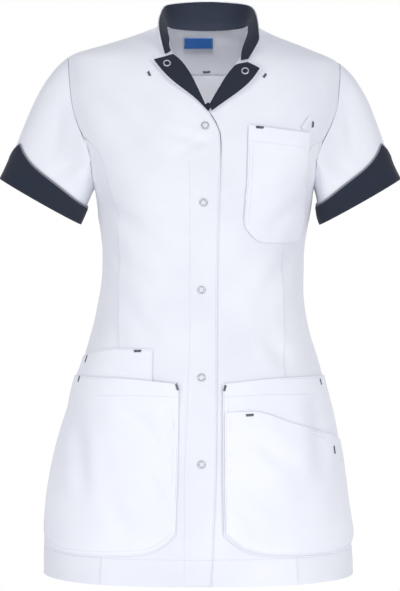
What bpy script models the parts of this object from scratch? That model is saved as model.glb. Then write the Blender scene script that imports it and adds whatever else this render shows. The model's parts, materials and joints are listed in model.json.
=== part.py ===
# Women's short-sleeved medical tunic, white with a navy contrast.
# The cloth is built as it is cut: every panel is a thin wall on one measured garment form.
# Sizes are in millimetres here and turned into metres when a mesh is made.
# The heights in the tables are above the hem; the origin is level with the side-neck points.
import bpy
import bmesh
import numpy as np
from math import acos, atan2, cos, degrees, pi, radians, sin

MM = 0.001
NECK_HEIGHT = 744.0      # height of the side-neck points above the hem, where the origin is
SEAM = 0.15              # each edge stays back this far, so pieces are 0.3 mm apart
CLOTH = 1.2              # wall of one layer of cloth
DOUBLE = 2.2             # wall of a doubled layer
ON_TOP = 1.0             # how far a patch stays clear of the panel it is sewn on
SNAP_RADIUS = 5.5
SNAP_HOLE = 3.3
SNAP_HEIGHT = 1.6
UNDERARM = 525.0
TIP_LEFT = 703.0         # shoulder tips, viewer's left and right
TIP_RIGHT = 695.0
YOKE_SEAM = 684.0
PRINCESS_TOP = 593.0
BACK_SEAM = 52.0         # degrees round the body from a side seam to a back seam

# The garment form, section by section. left and right are its two side edges.
FORM = [
    # height, left, right, front, back, front_power, back_power
    (0, -216, 207.5, 128, 125, 2.35, 2.30),
    (45, -214, 203, 127, 126, 2.35, 2.30),
    (100, -209, 195, 124, 127, 2.35, 2.30),
    (154, -201, 188, 121, 128, 2.35, 2.30),
    (209, -186, 177.5, 116, 124, 2.35, 2.30),
    (263, -171, 166.5, 109, 112, 2.35, 2.30),
    (318, -154, 150, 104, 101, 2.35, 2.30),
    (373, -141, 139, 103, 94, 2.35, 2.30),
    (424, -135, 138, 106, 92, 2.35, 2.30),
    (468, -138, 143, 117, 96, 2.30, 2.30),
    (502, -142, 149, 130, 101, 2.25, 2.30),
    (525, -146, 152, 133, 104, 2.25, 2.30),
    (545, -158, 163, 130, 106, 2.25, 2.30),
    (570, -170, 174, 123, 108, 2.25, 2.30),
    (600, -178, 183, 115, 110, 2.30, 2.30),
    (640, -183, 190, 105, 108, 2.35, 2.30),
    (675, -184.5, 190.5, 93, 102, 2.35, 2.30),
    (690, -184, 188, 85, 97, 2.30, 2.30),
    (697, -183, 183, 80, 94, 2.30, 2.30),
    (704, -180, 170, 75, 91, 2.25, 2.30),
    (710, -167, 154, 68, 87, 2.25, 2.30),
    (717, -142, 139, 60, 82, 2.20, 2.30),
    (725, -114, 116, 50, 77, 2.20, 2.35),
    (733, -88, 95, 39, 71, 2.20, 2.40),
    (741, -68, 80, 25, 65, 2.20, 2.50),
    (744.5, -60, 73, 17, 63, 2.20, 2.55),
    (748, -50, 64, 8, 61, 2.20, 2.60),
]

# Soft folds: angle round the body (0 is the front, 90 the viewer's right), the height it starts
# and ends, how the angle drifts over that height, half width in degrees, and how deep it is.
FOLDS = [
    # angle, low, high, drift, width, depth
    (-71, -40, 250, 6, 9.0, 2.3),
    (68, -40, 230, -5, 9.0, 2.0),
    (98, -40, 300, 4, 8.0, 2.6),
    (128, -40, 260, -5, 8.5, 3.2),
    (158, -40, 300, 4, 9.5, 3.6),
    (190, -40, 330, -3, 9.5, 3.4),
    (221, -40, 290, -4, 9.0, 3.8),
    (253, -40, 250, 5, 8.5, 3.0),
    (128, 360, 520, 9, 8.0, 2.3),
    (232, 370, 510, -8, 8.0, 2.5),
    (-40, 375, 470, 16, 7.0, 1.3),
    (44, 350, 455, -18, 7.0, 1.5),
    (-28, 560, 690, -14, 9.0, 1.1),
]

# Armhole: angle round the hole from the top (0) to the underarm (180), and how far the edge
# stays forward and back of the body's side, in degrees.
ARMHOLE = [
    # turn, front_set, back_set
    (0, 0, 0),
    (25, 6.5, 7.0),
    (48, 9.7, 11.0),
    (76, 13.0, 14.0),
    (95, 18.0, 16.5),
    (112, 23.0, 18.0),
    (125, 23.5, 18.0),
    (141, 19.7, 16.0),
    (160, 11.0, 10.0),
    (180, 0, 0),
]

# Edge of the right front, the one on top: the front edge, then the roll line, then the neck.
RIGHT_FRONT_EDGE = [
    # height, x
    (0, 11.8), (66, 15.2), (166, 18.7), (339, 19.8), (414, 20.2), (505, 22.2), (573, 24.5),
    (599, 23.4), (612, 17.6), (621.7, 11.6), (631, 6.3), (655, -4.4), (673.5, -13.5),
    (687.6, -22.6), (698, -32.5), (704.7, -39.6), (720, -43), (733, -45.3), (741, -47.2), (748, -50),
]
# Edge of the left front, which lies beneath.
LEFT_FRONT_EDGE = [
    # height, x
    (0, -16), (560, -16), (590, -13), (612, -4), (631, 7.5), (645, 14.5), (659.8, 23),
    (675, 32.3), (691, 46), (709, 54.5), (720, 57), (733, 59.3), (741, 61.2), (748, 64),
]
PRINCESS_RIGHT = [
    # height, x
    (0, -135), (150, -122), (311, -111), (457, -110.6), (493, -111.5), (523.5, -121),
    (551, -128), (576.6, -137), (593, -150),
]
PRINCESS_LEFT = [
    # height, x
    (0, 127), (150, 117), (281, 110), (414, 107.5), (457, 107), (493, 111), (523.5, 121),
    (551, 130), (576.6, 140), (593, 153),
]
# Lapels: the roll line and the outer edge, from the point of the V up to the collar.
LAPEL_RIGHT = [
    # step, roll_x, roll_height, edge_x, edge_height
    (0.00, 6.0, 632.0, 6.0, 627.0),
    (0.22, -4.4, 655.0, -6.5, 640.0),
    (0.42, -13.5, 673.5, -21.5, 652.0),
    (0.62, -22.6, 687.6, -37.8, 664.4),
    (0.82, -32.5, 698.0, -53.2, 679.9),
    (1.00, -38.8, 702.4, -64.7, 695.6),
]
LAPEL_LEFT = [
    # step, roll_x, roll_height, edge_x, edge_height
    (0.00, 9.0, 634.8, 13.8, 626.0),
    (0.22, 16.0, 647.5, 32.0, 639.5),
    (0.45, 23.5, 660.0, 47.0, 650.5),
    (0.70, 32.8, 675.0, 61.5, 663.0),
    (0.85, 39.0, 682.5, 69.5, 672.5),
    (1.00, 45.2, 689.0, 76.6, 683.2),
]
# The collar: where it meets the neck and its top edge. The three rows behind the shoulders give
# the neck as an angle round the body in place of x.
COLLAR = [
    # step, neck_x, neck_height, top_x, top_y, top_height, lift
    (0.00, -49.4, 699.8, -57.5, -64, 737, 3.0),
    (0.05, -42.2, 704.0, -57.8, -55, 740, 2.2),
    (0.10, -43.0, 720.0, -58.4, -44, 744, 1.4),
    (0.18, -47.2, 741.0, -58.8, -21, 752, 0.6),
    (0.25, -50.0, 748.0, -57.0, 2, 761, 0),
    (0.37, "-132", 745.5, -50.0, 40, 777, 0),
    (0.50, "-180", 743.5, 7.0, 59, 783.5, 0),
    (0.63, "-228", 745.5, 64.0, 40, 777, 0),
    (0.75, 64.0, 748.0, 73.5, 2, 763, 0),
    (0.82, 61.2, 741.0, 75.4, -21, 751, 1.0),
    (0.90, 56.5, 717.0, 76.2, -40, 740, 2.2),
    (0.95, 50.5, 691.3, 76.8, -52, 731, 3.2),
    (1.00, 61.0, 693.2, 77.0, -61, 723.6, 3.4),
]
# Turned-up cuff: its height all round, from the outer side of the sleeve to the underarm.
CUFF_HEIGHT = [
    # turn, height
    (0, 31), (28, 54), (45, 44.5), (62, 38), (84, 34), (107, 31), (140, 27), (180, 22),
]
SLEEVES = {
    # side: end centre x, end height, half width, half depth, lean in degrees
    "right": (-219.5, 507.0, 60.0, 49.0, 29.5),
    "left": (214.5, 506.5, 60.0, 49.0, 29.5),
}
SNAPS = [
    # name, x, height
    ("snap_1", 4.0, 608),
    ("snap_2", 2.0, 508),
    ("snap_3", -0.7, 392),
    ("snap_4", -0.7, 276),
    ("snap_5", -0.7, 162),
]
LAPEL_SNAPS = [
    # name, x, height
    ("revers_snap_right", -46.0, 688.5),
    ("revers_snap_left", 56.5, 678.5),
]

WHITE = (0.86, 0.87, 0.90)
NAVY = (0.030, 0.040, 0.060)
GREY = (0.33, 0.34, 0.37)
STEEL = (0.62, 0.63, 0.65)
BLUE = (0.02, 0.12, 0.42)


def smooth_table(xs, ys):
    """A smooth curve through a table that never overshoots it."""
    xs = np.array(xs, float)
    ys = np.array(ys, float)
    step = np.diff(xs)
    slope = np.diff(ys) / step
    tangent = np.zeros(len(xs))
    tangent[0] = slope[0]
    tangent[-1] = slope[-1]
    for i in range(1, len(xs) - 1):
        if slope[i - 1] * slope[i] > 0:
            a = 2 * step[i] + step[i - 1]
            b = step[i] + 2 * step[i - 1]
            tangent[i] = (a + b) / (a / slope[i - 1] + b / slope[i])
    fine_x = []
    fine_y = []
    for i in range(len(step)):
        t = np.linspace(0, 1, 25)[:-1]
        fine_x.extend(xs[i] + t * step[i])
        fine_y.extend((2 * t**3 - 3 * t**2 + 1) * ys[i] + (t**3 - 2 * t**2 + t) * step[i] * tangent[i]
                      + (3 * t**2 - 2 * t**3) * ys[i + 1] + (t**3 - t**2) * step[i] * tangent[i + 1])
    fine_x.append(xs[-1])
    fine_y.append(ys[-1])
    return lambda x: float(np.interp(x, fine_x, fine_y))


def column(table, number, key=0):
    return smooth_table([row[key] for row in table], [row[number] for row in table])


LEFT, RIGHT, FRONT, BACK, FRONT_POWER, BACK_POWER = [column(FORM, k) for k in range(1, 7)]
FRONT_SET = column(ARMHOLE, 1)
BACK_SET = column(ARMHOLE, 2)


def soft_step(low, high, value):
    t = min(max((value - low) / (high - low), 0.0), 1.0)
    return t * t * (3 - 2 * t)


def fold_depth(angle, height):
    """How far the cloth dips at this place: each fold is a soft trough that fades at its ends."""
    total = 0.0
    for start, low, high, drift, width, depth in FOLDS:
        along = (height - low) / (high - low)
        if along <= 0 or along >= 1:
            continue
        away = (angle - start - drift * along + 180) % 360 - 180
        fade = soft_step(0, 0.25, along) * (1 - soft_step(0.55, 1.0, along))
        bell = np.exp(-(away / width) ** 2)
        rise = np.exp(-((away - 2.2 * width) / width) ** 2) + np.exp(-((away + 2.2 * width) / width) ** 2)
        total += depth * fade * (bell - 0.5 * rise)
    return total


def form_point(angle, height):
    """A point on the garment form at an angle round the body."""
    low, high = LEFT(height), RIGHT(height)
    centre, half = (low + high) / 2, (high - low) / 2
    s, c = sin(radians(angle)), cos(radians(angle))
    depth, power = (FRONT(height), FRONT_POWER(height)) if c >= 0 else (BACK(height), BACK_POWER(height))
    reach = ((abs(s) / half) ** power + (abs(c) / depth) ** power) ** (-1 / power)
    reach -= fold_depth(angle, height)
    return np.array([centre + reach * s, -reach * c, height])


def form_normal(angle, height):
    """The outward direction of the form."""
    across = form_point(angle + 0.6, height) - form_point(angle - 0.6, height)
    top = min(height + 1.0, 748.0)
    up = form_point(angle, top) - form_point(angle, max(top - 2.0, 0.0))
    normal = np.cross(across, up)
    return normal / np.linalg.norm(normal)


def angle_at(x, height, front=True):
    """The angle round the body of a place seen straight from the front or the back."""
    low, high = LEFT(height), RIGHT(height)
    centre, half = (low + high) / 2, (high - low) / 2
    share = min(abs(x - centre) / half, 1.0)
    depth, power = (FRONT(height), FRONT_POWER(height)) if front else (BACK(height), BACK_POWER(height))
    deep = depth * (1 - share ** power) ** (1 / power)
    if front:
        return degrees(atan2(x - centre, deep))
    angle = degrees(atan2(x - centre, -deep))
    return angle if angle >= 0 else angle + 360


def armhole(side, turn):
    """Angle and height on the form of the armhole edge; turn 0 is the top, 90 front, 180 under."""
    tip = TIP_LEFT if side < 0 else TIP_RIGHT
    height = (tip + UNDERARM) / 2 + (tip - UNDERARM) / 2 * cos(radians(turn))
    if turn <= 180:
        return side * (90 - FRONT_SET(turn)), height
    angle = 90 + BACK_SET(360 - turn)
    return side * angle, height


def armhole_turn(side, height):
    tip = TIP_LEFT if side < 0 else TIP_RIGHT
    share = (height - (tip + UNDERARM) / 2) / ((tip - UNDERARM) / 2)
    return degrees(acos(min(max(share, -1.0), 1.0)))


def material(name, colour, metallic, roughness):
    made = bpy.data.materials.new(name)
    made.use_nodes = True
    shader = made.node_tree.nodes["Principled BSDF"]
    shader.inputs["Base Color"].default_value = (*colour, 1)
    shader.inputs["Metallic"].default_value = metallic
    shader.inputs["Roughness"].default_value = roughness
    made.diffuse_color = (*colour, 1)
    return made


def make_object(name, points, faces, look):
    """One closed body from points in millimetres above the hem."""
    mesh = bpy.data.meshes.new(name)
    work = bmesh.new()
    verts = [work.verts.new((p[0] * MM, p[1] * MM, (p[2] - NECK_HEIGHT) * MM)) for p in points]
    for face in faces:
        work.faces.new([verts[k] for k in face])
    bmesh.ops.recalc_face_normals(work, faces=work.faces[:])
    if work.calc_volume(signed=True) < 0:
        bmesh.ops.reverse_faces(work, faces=work.faces[:])
    work.to_mesh(mesh)
    work.free()
    mesh.materials.append(look)
    made = bpy.data.objects.new(name, mesh)
    TUNIC.objects.link(made)
    return made


def wall(name, outer, inner, look, closed=False):
    """A wall of cloth between two grids of points. Its open edges are set back for the seams."""
    outer = np.array(outer, float)
    inner = np.array(inner, float)
    rows, cols = outer.shape[:2]

    def set_back(grid):
        moved = grid.copy()
        for edge, beside in ((0, 1), (rows - 1, rows - 2)):
            step = grid[beside] - grid[edge]
            moved[edge] += SEAM * step / np.linalg.norm(step, axis=1, keepdims=True)
        if not closed:
            for edge, beside in ((0, 1), (cols - 1, cols - 2)):
                step = grid[:, beside] - grid[:, edge]
                moved[:, edge] += SEAM * step / np.linalg.norm(step, axis=1, keepdims=True)
        return moved

    shift = set_back(outer) - outer
    outer = outer + shift
    inner = inner + shift
    count = rows * cols
    points = list(outer.reshape(-1, 3)) + list(inner.reshape(-1, 3))
    faces = []
    across = cols if closed else cols - 1
    for i in range(rows - 1):
        for j in range(across):
            k = (j + 1) % cols
            quad = [i * cols + j, i * cols + k, (i + 1) * cols + k, (i + 1) * cols + j]
            faces.append(quad)
            faces.append([count + v for v in reversed(quad)])
    for j in range(across):
        k = (j + 1) % cols
        last = (rows - 1) * cols
        faces.append([k, j, count + j, count + k])
        faces.append([last + j, last + k, count + last + k, count + last + j])
    if not closed:
        for i in range(rows - 1):
            a, b = i * cols, (i + 1) * cols
            faces.append([a, b, count + b, count + a])
            faces.append([b + cols - 1, a + cols - 1, count + a + cols - 1, count + b + cols - 1])
    return make_object(name, points, faces, look)


def panel(name, grid, look, lift=0.0, thick=CLOTH):
    """A wall lying on the form, from a grid of angles and heights. lift may be a function."""
    outer = []
    inner = []
    for row in grid:
        out_row = []
        in_row = []
        for angle, height in row:
            point = form_point(angle, height)
            normal = form_normal(angle, height)
            up = lift(point) if callable(lift) else lift
            out_row.append(point + normal * (up + thick))
            in_row.append(point + normal * up)
        outer.append(out_row)
        inner.append(in_row)
    return wall(name, outer, inner, look)


def spread(count, ends=0.0):
    """Steps from 0 to 1, closer together at the ends when asked."""
    t = np.linspace(0, 1, count + 1)
    return (1 - ends) * t + ends * (1 - np.cos(pi * t)) / 2


PRINCESS_ROWS = [0, 30, 61, 92, 123, 154, 185, 216, 247, 279, 311, 343, 375, 407, 438, 467, 490, 508,
                 525, 541, 557, 571, 583, PRINCESS_TOP]


def front_rows(side):
    """Pairs of heights for a front: at its centre edge, and at its outer edge or armhole turn."""
    rows = [(h, h, None) for h in PRINCESS_ROWS]
    start = armhole_turn(side, PRINCESS_TOP)
    centre = [603, 614, 631, 646, 662, 678, 691, 704.7, 715, 726, 735, 742.5, 748]
    for k, height in enumerate(centre):
        turn = start * (1 - (k + 1) / len(centre))
        rows.append((height, None, turn))
    return rows


def front_grid(side):
    edge = column(RIGHT_FRONT_EDGE if side < 0 else LEFT_FRONT_EDGE, 1)
    princess = column(PRINCESS_RIGHT if side < 0 else PRINCESS_LEFT, 1)
    tip = TIP_LEFT if side < 0 else TIP_RIGHT
    grid = []
    for inner_height, outer_height, turn in front_rows(side):
        if turn is None:
            end_x, end_height = princess(outer_height), outer_height
            if outer_height == PRINCESS_TOP:
                corner = armhole(side, armhole_turn(side, PRINCESS_TOP))[0]
                end_x = form_point(corner, outer_height)[0]
        elif turn <= 0.01:
            end_x, end_height = form_point(side * 90, tip)[0], tip
        else:
            angle, end_height = armhole(side, turn)
            end_x = form_point(angle, end_height)[0]
        start_x = edge(inner_height)
        row = []
        for s in spread(9, 0.25):
            height = inner_height + (end_height - inner_height) * s
            if turn is not None and turn <= 0.01:
                row.append((side * 90, height))
                continue
            x = start_x + (end_x - start_x) * s
            angle = angle_at(x, height)
            if s == 1.0 and turn is not None:
                angle = armhole(side, turn)[0]
            if s == 0.0 and inner_height >= 748:
                angle = side * 90
            row.append((angle, height))
        grid.append(row)
    return grid


def side_front_grid(side):
    princess = column(PRINCESS_RIGHT if side < 0 else PRINCESS_LEFT, 1)
    start = armhole_turn(side, PRINCESS_TOP)
    grid = []
    for in_height in PRINCESS_ROWS:
        v = in_height / PRINCESS_TOP
        out_height = v * UNDERARM
        top_angle = armhole(side, start)[0]
        in_angle = angle_at(princess(in_height), in_height)
        if in_height == PRINCESS_TOP:
            in_angle = top_angle
        row = []
        for s in spread(8):
            angle = in_angle + (side * 90 - in_angle) * s
            height = in_height + (out_height - in_height) * s
            arc_angle, arc_height = armhole(side, start + (180 - start) * s)
            straight_angle = top_angle + (side * 90 - top_angle) * s
            straight_height = PRINCESS_TOP + (UNDERARM - PRINCESS_TOP) * s
            pull = v ** 7
            row.append((angle + (arc_angle - straight_angle) * pull,
                        height + (arc_height - straight_height) * pull))
        grid.append(row)
    return grid


def back_grid(part, count):
    """Below the yoke: part is -1 for the left side back, 0 for the middle and 1 for the right.

    Above the underarm the columns close up towards the armhole, most of all those next to it."""
    heights = list(np.linspace(0, UNDERARM, 18)) + [527, 531, 539, 551, 568, 592, 622, 653, YOKE_SEAM]
    grid = []
    for height in heights:
        if part == 0:
            grid.append([(180 + (90 - BACK_SEAM) * s, height) for s in np.linspace(-1, 1, count)])
            continue
        edge = 90.0
        if height > UNDERARM:
            edge = abs(armhole(-part, 360 - armhole_turn(-part, height))[0])
            edge = 360 - edge if edge > 180 else edge
        row = []
        for s in np.linspace(0, 1, count):
            angle = 90 + BACK_SEAM * s + (edge - 90) * (1 - s) ** 2
            row.append((angle if part < 0 else 360 - angle, height))
        grid.append(row if part < 0 else row[::-1])
    return grid


def yoke_grid():
    """From the yoke seam up to the shoulder seams and the back of the neck."""
    low_start = armhole(1, 360 - armhole_turn(1, YOKE_SEAM))[0]
    low_end = 360 + armhole(-1, 360 - armhole_turn(-1, YOKE_SEAM))[0]
    start_x = form_point(low_start, YOKE_SEAM)[0]
    end_x = form_point(low_end, YOKE_SEAM)[0]
    tops = []
    for s in np.linspace(0, 1, 8):
        tops.append((90.0, TIP_RIGHT + (748 - TIP_RIGHT) * s))
    for s in np.linspace(0, 1, 11)[1:-1]:
        tops.append((90 + 180 * s, neck_height(90 + 180 * s)))
    for s in np.linspace(0, 1, 8):
        tops.append((270.0, 748 + (TIP_LEFT - 748) * s))
    top_x = [form_point(a, h)[0] for a, h in tops]
    grid = []
    for v in (0.0, 0.3, 0.6, 0.8, 0.93, 1.0):
        row = []
        for k, (top_angle, top_height) in enumerate(tops):
            share = (top_x[k] - top_x[0]) / (top_x[-1] - top_x[0])
            low_x = start_x + (end_x - start_x) * share
            height = YOKE_SEAM + (top_height - YOKE_SEAM) * v
            if v == 1.0:
                row.append((top_angle, top_height))
            elif v == 0.0:
                angle = angle_at(low_x, YOKE_SEAM, front=False)
                row.append((low_start if k == 0 else low_end if k == len(tops) - 1 else angle, YOKE_SEAM))
            elif k in (0, len(tops) - 1):
                side = 1 if k == 0 else -1
                angle, _ = armhole(side, 360 - armhole_turn(side, height))
                row.append((angle if side > 0 else 360 + angle, height))
            else:
                x = low_x + (top_x[k] - low_x) * v
                row.append((angle_at(x, height, front=False), height))
        grid.append(row)
    return grid


def neck_height(angle):
    """Height of the back neck seam."""
    return 748 - 4.5 * sin(radians(angle - 90)) ** 2


def sleeve_point(side, turn, along):
    """The sleeve: along is 0 at the armhole and 1 at the open end. turn is 0 at the outer side."""
    end_x, end_height, half_width, half_depth, lean = SLEEVES["right" if side < 0 else "left"]
    angle, height = armhole(side, turn)
    start = form_point(angle, height)
    out = form_normal(angle, height)
    low = (1 - cos(radians(turn))) / 2
    axis = np.array([side * sin(radians(lean)), 0, -cos(radians(lean))])
    across = np.array([side * cos(radians(lean)), 0, sin(radians(lean))])
    before = form_point(*armhole(side, (turn - 2) % 360))
    after = form_point(*armhole(side, (turn + 2) % 360))
    rim = after - before
    away = -side * np.cross(rim, out)
    away /= np.linalg.norm(away)
    start = start + away * 0.35 + out * (0.1 + 0.9 * low)
    wave = 1 + 0.02 * sin(radians(3 * turn + 40)) + 0.012 * sin(radians(5 * turn))
    end = (np.array([end_x, 0, end_height]) + across * half_width * cos(radians(turn)) * wave
           + np.array([0, -half_depth * sin(radians(turn)) * wave, 0]))
    crown = np.array([side * 0.82, 0, -0.57])
    weight = (1 - low) ** 2
    leave = crown * weight + axis * (1 - weight)
    leave /= np.linalg.norm(leave)
    reach = np.linalg.norm(end - start)
    t = along
    return ((2 * t**3 - 3 * t**2 + 1) * start + (t**3 - 2 * t**2 + t) * reach * leave
            + (3 * t**2 - 2 * t**3) * end + (t**3 - t**2) * reach * axis)


def sleeve_normal(side, turn, along):
    around = sleeve_point(side, turn + 1.5, along) - sleeve_point(side, turn - 1.5, along)
    low = max(along - 0.02, 0.0)
    down = sleeve_point(side, turn, low + 0.04) - sleeve_point(side, turn, low)
    normal = np.cross(around, down)
    normal /= np.linalg.norm(normal)
    outward = sleeve_point(side, turn, along) - sleeve_point(side, (turn + 180) % 360, along)
    return normal if np.dot(normal, outward) > 0 else -normal


def tube(name, side, turns, alongs, look, lift, thick):
    """A wall round the sleeve; alongs is a list of functions of the turn."""
    outer = []
    inner = []
    for place in alongs:
        out_row = []
        in_row = []
        for turn in turns:
            point = sleeve_point(side, turn, place(turn))
            normal = sleeve_normal(side, turn, place(turn))
            out_row.append(point + normal * (lift + thick))
            in_row.append(point + normal * lift)
        outer.append(out_row)
        inner.append(in_row)
    return wall(name, outer, inner, look, closed=True)


CUFF = column(CUFF_HEIGHT, 1)


def cuff_height(turn):
    turn = turn % 360
    turn = min(turn, 360 - turn)
    if turn < 28:
        return CUFF_HEIGHT[0][1] + (CUFF_HEIGHT[1][1] - CUFF_HEIGHT[0][1]) * turn / 28
    return CUFF(turn)


def make_sleeve(side, word):
    turns = [k * 360 / 26 for k in range(26)]
    steps = [0.0, 0.07, 0.18, 0.34, 0.54, 0.76, 0.97]
    tube("sleeve_" + word, side, turns, [lambda turn, s=s: s for s in steps], MATERIALS["white"], 0.0, CLOTH)
    fine = sorted(set([0, 14, 28, 332, 346] + [28 + k * 304 / 22 for k in range(1, 22)]))
    lengths = {}
    for turn in fine:
        lengths[turn] = np.linalg.norm(sleeve_point(side, turn, 1.0) - sleeve_point(side, turn, 0.0))

    def place(turn, back):
        """The step along the sleeve that is this far before its end."""
        end = sleeve_point(side, turn, 1.0)
        low, high = 0.0, 1.0
        for _ in range(24):
            middle = (low + high) / 2
            if np.linalg.norm(sleeve_point(side, turn, middle) - end) > back:
                low = middle
            else:
                high = middle
        return (low + high) / 2

    levels = []
    for share in (0.0, 0.33, 0.66, 1.0):
        levels.append({turn: place(turn, cuff_height(turn) * (1 - share)) for turn in fine})
    tube("cuff_" + word, side, fine, [level.get for level in levels], MATERIALS["navy"], CLOTH + ON_TOP, 1.9)
    piping = [{turn: place(turn, cuff_height(turn) + 2.6) for turn in fine},
              {turn: place(turn, cuff_height(turn) + 0.1) for turn in fine}]
    tube("cuff_piping_" + word, side, fine, [level.get for level in piping], MATERIALS["grey"],
         CLOTH + ON_TOP, 1.4)


def make_collar():
    """A stand collar: white outside, navy inside, from one end at the front round the back."""
    angles = []
    for step, neck_x, neck_h, _, _, _, _ in COLLAR:
        if isinstance(neck_x, str):
            angles.append(float(neck_x))
        elif neck_h >= 748:
            angles.append(-90.0 if step < 0.5 else -270.0)
        else:
            angles.append(angle_at(neck_x, neck_h) - (0 if step < 0.5 else 360))
    parts = [smooth_table([row[0] for row in COLLAR], angles)] + [column(COLLAR, k) for k in range(2, 7)]
    steps = spread(30, 0.3)

    def place(t, rise):
        angle, height, top_x, top_y, top_height, lift = [part(t) for part in parts]
        angle = angle if angle > -180 else angle + 360
        height = min(height, 748.0)
        base = form_point(angle, height) + form_normal(angle, height) * lift
        top = np.array([top_x, top_y, top_height])
        up = (top - base) / np.linalg.norm(top - base)
        base = base + up * 1.5
        bulge = 1.5 * sin(pi * rise)
        out = np.array([base[0] - 7.0, base[1], 0])
        out /= np.linalg.norm(out)
        return base + (top - base) * rise + out * bulge

    def face_of(t, rise):
        along = place(min(t + 0.01, 1), rise) - place(max(t - 0.01, 0), rise)
        up = place(t, min(rise + 0.1, 1)) - place(t, max(rise - 0.1, 0))
        normal = np.cross(up, along)
        return normal / np.linalg.norm(normal)

    for name, look, lift, thick, margin in (("collar_outer", "white", 0.0, CLOTH, 0.0),
                                            ("collar_inner", "navy", -1.1 - CLOTH, CLOTH, 1.0)):
        outer = []
        inner = []
        for rise in (0.0, 0.34, 0.67, 1.0 - margin / 38):
            out_row = []
            in_row = []
            for t in steps:
                t = min(max(t, margin / 300), 1 - margin / 300)
                point, normal = place(t, rise), face_of(t, rise)
                out_row.append(point + normal * (lift + thick))
                in_row.append(point + normal * lift)
            outer.append(out_row)
            inner.append(in_row)
        wall(name, outer, inner, MATERIALS[look])


def make_lapel(table, peak, lift, thick, margin, name, look):
    """A lapel lies folded back on its front, from the roll line to its own edge."""
    parts = [column(table, k) for k in range(1, 5)]
    grid = []
    for v in np.linspace(0.0, 1.0, 9):
        if v == 1.0:
            v = 1.0 - margin / 95
        roll_x, roll_height, edge_x, edge_height = [part(v) for part in parts]
        length = np.hypot(edge_x - roll_x, edge_height - roll_height)
        row = []
        for s in np.linspace(0, max(1 - margin / length, 0.5), 5):
            x = roll_x + (edge_x - roll_x) * s
            height = roll_height + (edge_height - roll_height) * s
            height += peak * v ** 8 * max(0.0, 1 - abs(2 * s - 1))
            row.append((angle_at(x, height), height))
        grid.append(row)
    return panel(name, grid, MATERIALS[look], lift, thick)


def patch(name, low, high, start, end, look, lift, thick=CLOTH, cols=9, rows=9):
    """A pocket on the form. low and high give heights across it, start and end give its two sides
    as x at a height. A side given as an angle stays on that line."""
    grid = []
    for v in spread(rows, 0.3):
        row = []
        for s in spread(cols, 0.3):
            height = low(s) + (high(s) - low(s)) * v
            first = start(height)
            last = end(height)
            row.append((first + (last - first) * s, height))
        grid.append(row)
    return panel(name, grid, MATERIALS[look], lift, thick)


def x_line(table):
    """A side of a pocket given as x at heights, turned into angles round the body."""
    place = column(table, 1)
    return lambda height: angle_at(place(height), height)


def make_pockets():
    def raised(point):
        """The right hip pocket's mouth stands over the small pocket behind it."""
        return ON_TOP + 2.1 * soft_step(238, 256, point[2])

    right_low = smooth_table([0, 0.06, 0.14, 0.28, 0.72, 0.86, 1.0], [66, 50, 42, 37, 41, 48, 69])
    right_high = smooth_table([0, 0.5, 1], [270, 273.5, 267.7])
    patch("hip_pocket_right", right_low, right_high, lambda h: -88.0,
          x_line([(0, -35), (68, -34.8), (160, -31.8), (268, -30.6), (300, -30.6)]), "white", raised, cols=13, rows=9)
    upper_low = smooth_table([0, 1], [262, 262])
    upper_high = smooth_table([0, 0.35, 0.6, 1], [297, 307, 313, 313])
    patch("upper_pocket_right", upper_low, upper_high, lambda h: -86.5,
          x_line([(240, -66), (330, -64.9)]), "white", ON_TOP, cols=7, rows=3)
    left_low = smooth_table([0, 0.14, 0.28, 0.72, 0.86, 0.94, 1.0], [69, 48, 40, 35, 40, 48, 60])
    left_high = smooth_table([0, 0.5, 1], [267.7, 274, 271])
    patch("hip_pocket_left", left_low, left_high,
          x_line([(0, 29), (68, 28.8), (160, 27.3), (268, 27.7), (300, 27.7)]), lambda h: 88.0,
          "white", ON_TOP, cols=13, rows=9)
    slant_low = smooth_table([0, 0.14, 0.28, 0.72, 0.86, 0.94, 1.0], [72, 51, 43, 38, 43, 51, 63])
    slant_high = smooth_table([0, 0.22, 0.30, 0.5, 0.75, 1], [229.6, 231.5, 230, 215, 199, 181])
    patch("slant_pocket_left", slant_low, slant_high,
          x_line([(0, 31), (68, 30.8), (160, 29.3), (268, 29.7), (300, 29.7)]), lambda h: 86.5,
          "white", 2 * ON_TOP + CLOTH, cols=13, rows=8)
    chest_low = smooth_table([0, 0.14, 0.24, 1], [478, 462, 455.5, 453])
    chest_high = smooth_table([0, 1], [609, 599])
    patch("chest_pocket", chest_low, chest_high,
          x_line([(440, 53.5), (478, 54.5), (542, 58.5), (620, 60.8)]),
          x_line([(440, 124), (458, 130), (500, 136), (527, 138), (545, 138), (575, 139.5), (620, 143)]),
          "white", ON_TOP + 0.4, cols=8, rows=10)


def make_pen_tab():
    """A short tab that runs up from the chest pocket to the armhole."""
    grid = []
    for v in np.linspace(0, 1, 4):
        row = []
        for s in np.linspace(0, 1, 3):
            x = 133.5 + 11.5 * v - 3.2 * s
            height = 602.5 + 15.5 * v + 4.2 * s
            row.append((angle_at(x, height), height))
        grid.append(row)
    panel("pen_tab", grid, MATERIALS["white"], ON_TOP, CLOTH)


def make_label():
    """A plain woven label inside the back of the neck."""
    grid = []
    for height in (720.5, 727.5, 734.5):
        row = []
        for x in np.linspace(-25, 15.5, 5):
            row.append((angle_at(x, height, front=False), height))
        grid.append(row)
    panel("neck_label", grid, MATERIALS["blue"], -DOUBLE - 2.2, 1.0)


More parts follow.
